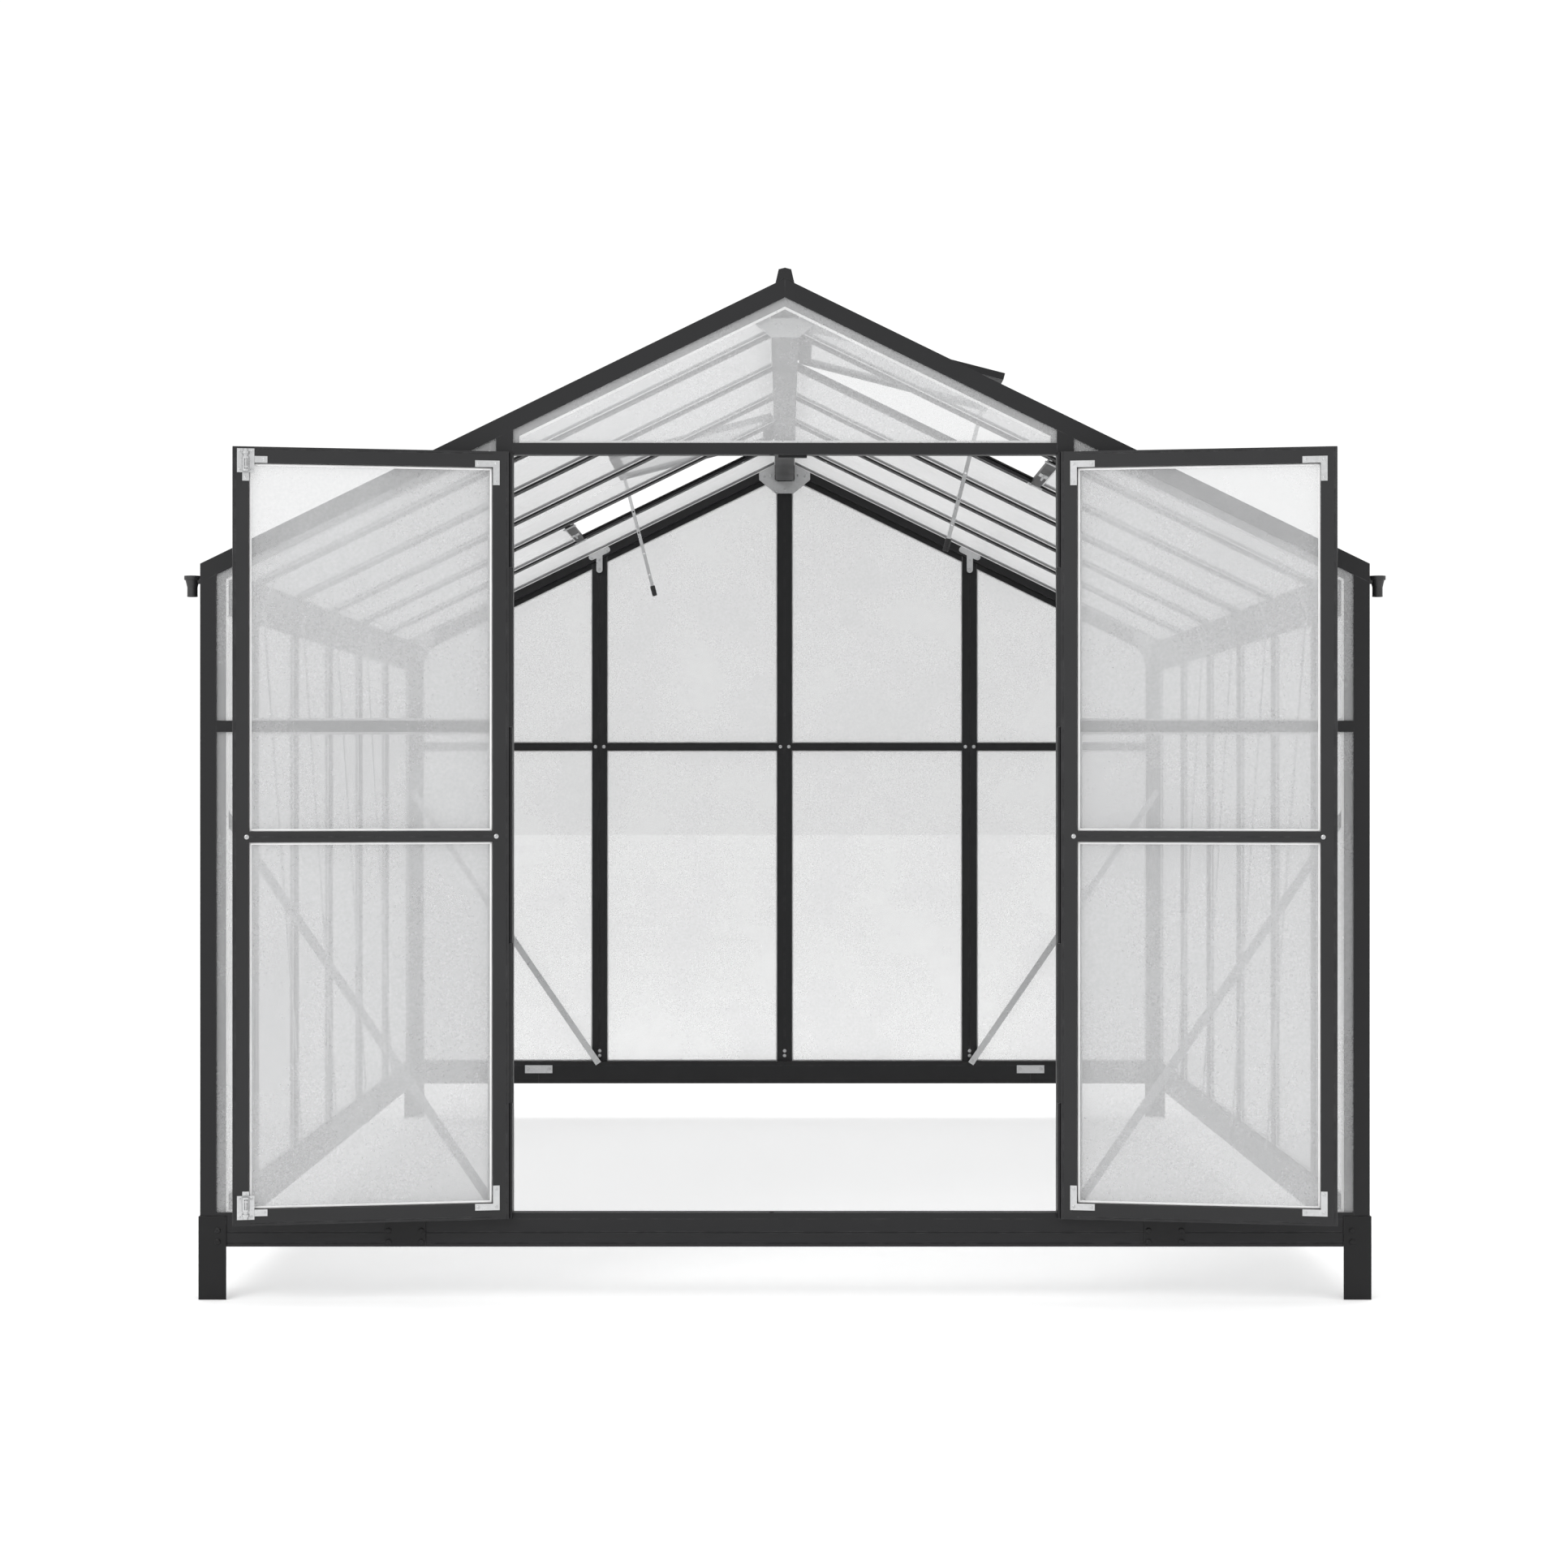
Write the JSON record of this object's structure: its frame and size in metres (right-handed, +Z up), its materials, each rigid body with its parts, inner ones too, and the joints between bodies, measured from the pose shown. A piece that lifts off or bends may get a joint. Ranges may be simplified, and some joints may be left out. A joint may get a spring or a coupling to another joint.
{
  "type": "walk-in greenhouse",
  "caption": "Free-standing gable-roofed greenhouse with outward-opening double doors, roof vents on stays and gutters along both eaves.",
  "frame": {"origin": "centre of the whole object's box at ground level, with the doors and vents open as they are at rest", "axes": "+X to the right as seen from the doors, +Y from the doors to the rear wall, +Z up"},
  "size_m": [2.581, 3.8796, 2.1999],
  "materials": {
    "black_frame": "satin black powder coat",
    "door_frame": "satin charcoal powder coat",
    "black_steel": "satin black paint",
    "hardware": "bright zinc plate",
    "polycarbonate": "clear 4 mm sheet, faintly frosted",
    "black_plastic": "moulded black"
  },
  "bodies": {
    "frame": {"corner_stakes": "black_steel", "base_rail_front": "black_frame", "base_rail_rear": "black_frame", "base_rail_left": "black_frame", "base_rail_right": "black_frame", "base_splice_plates": "black_steel", "base_joint_plates": "hardware", "base_bolts": "black_steel", "corner_posts": "black_frame", "door_jambs": "black_frame", "door_header": "black_frame", "door_stop_plate": "black_frame", "wall_sills": "black_frame", "front_mid_rails": "black_frame", "rear_mid_rails": "black_frame", "rear_studs": "black_frame", "side_studs_left": "black_frame", "side_studs_right": "black_frame", "eave_beam_left": "black_frame", "eave_beam_right": "black_frame", "gutter_outlets": "black_plastic", "ridge_beam": "black_frame", "ridge_end_caps": "black_frame", "gable_rafters_front": "black_frame", "gable_rafters_rear": "black_frame", "rafters_left": "black_frame", "rafters_right": "black_frame", "vent_crossbars": "black_frame", "stay_holders": "hardware", "gable_braces": "hardware", "side_braces": "hardware", "gusset_plates": "hardware", "frame_bolts": "hardware", "glazing_front": "polycarbonate", "glazing_gable_front": "polycarbonate", "glazing_rear": "polycarbonate", "glazing_left": "polycarbonate", "glazing_right": "polycarbonate", "roof_glazing_left": "polycarbonate", "roof_glazing_right": "polycarbonate", "hinge_pins": "hardware"},
    "door_left": {"door_left_frame": "door_frame", "door_left_glazing": "polycarbonate", "door_left_brackets": "hardware", "door_left_pull": "black_plastic", "slide_bolt_housings": "hardware"},
    "slide_bolt_top": {"slide_bolt_top": "hardware"},
    "slide_bolt_bottom": {"slide_bolt_bottom": "hardware"},
    "door_right": {"door_right_frame": "door_frame", "door_right_glazing": "polycarbonate", "door_right_brackets": "hardware", "door_right_pull": "black_plastic"},
    "vent_left": {"vent_left_frame": "black_frame", "vent_left_glazing": "polycarbonate"},
    "stay_left": {"vent_left_stay": "hardware", "vent_left_grip": "black_plastic"},
    "vent_right": {"vent_right_frame": "black_frame", "vent_right_glazing": "polycarbonate"},
    "stay_right": {"vent_right_stay": "hardware", "vent_right_grip": "black_plastic"}
  },
  "joints": [
    {"name": "door_left_hinge", "type": "hinge", "parent": "frame", "child": "door_left", "pos_m": [-0.584, -1.80023, 0], "axis": [0, 0, 1], "range_deg": [0, 169]},
    {"name": "door_right_hinge", "type": "hinge", "parent": "frame", "child": "door_right", "pos_m": [0.584, -1.80023, 0], "axis": [0, 0, -1], "range_deg": [0, 169]},
    {"name": "slide_bolt_top_travel", "type": "slide", "parent": "door_left", "child": "slide_bolt_top", "axis": [0, 0, 1], "range_m": [0, 0.014]},
    {"name": "slide_bolt_bottom_travel", "type": "slide", "parent": "door_left", "child": "slide_bolt_bottom", "axis": [0, 0, -1], "range_m": [0, 0.014]},
    {"name": "vent_left_hinge", "type": "hinge", "parent": "frame", "child": "vent_left", "pos_m": [-0.03271, 0.98877, 2.17126], "axis": [0, 1, 0], "range_deg": [-11.6, 18.4]},
    {"name": "vent_right_hinge", "type": "hinge", "parent": "frame", "child": "vent_right", "pos_m": [0.03271, -0.84123, 2.17126], "axis": [0, -1, 0], "range_deg": [-11.6, 18.4]},
    {"name": "stay_left_pivot", "type": "hinge", "parent": "vent_left", "child": "stay_left", "pos_m": [-0.48466, 0.98877, 2.03354], "axis": [0, -1, 0], "range_deg": [-35, 85]},
    {"name": "stay_right_pivot", "type": "hinge", "parent": "vent_right", "child": "stay_right", "pos_m": [0.48466, -0.84123, 2.03354], "axis": [0, 1, 0], "range_deg": [-35, 85]}
  ]
}
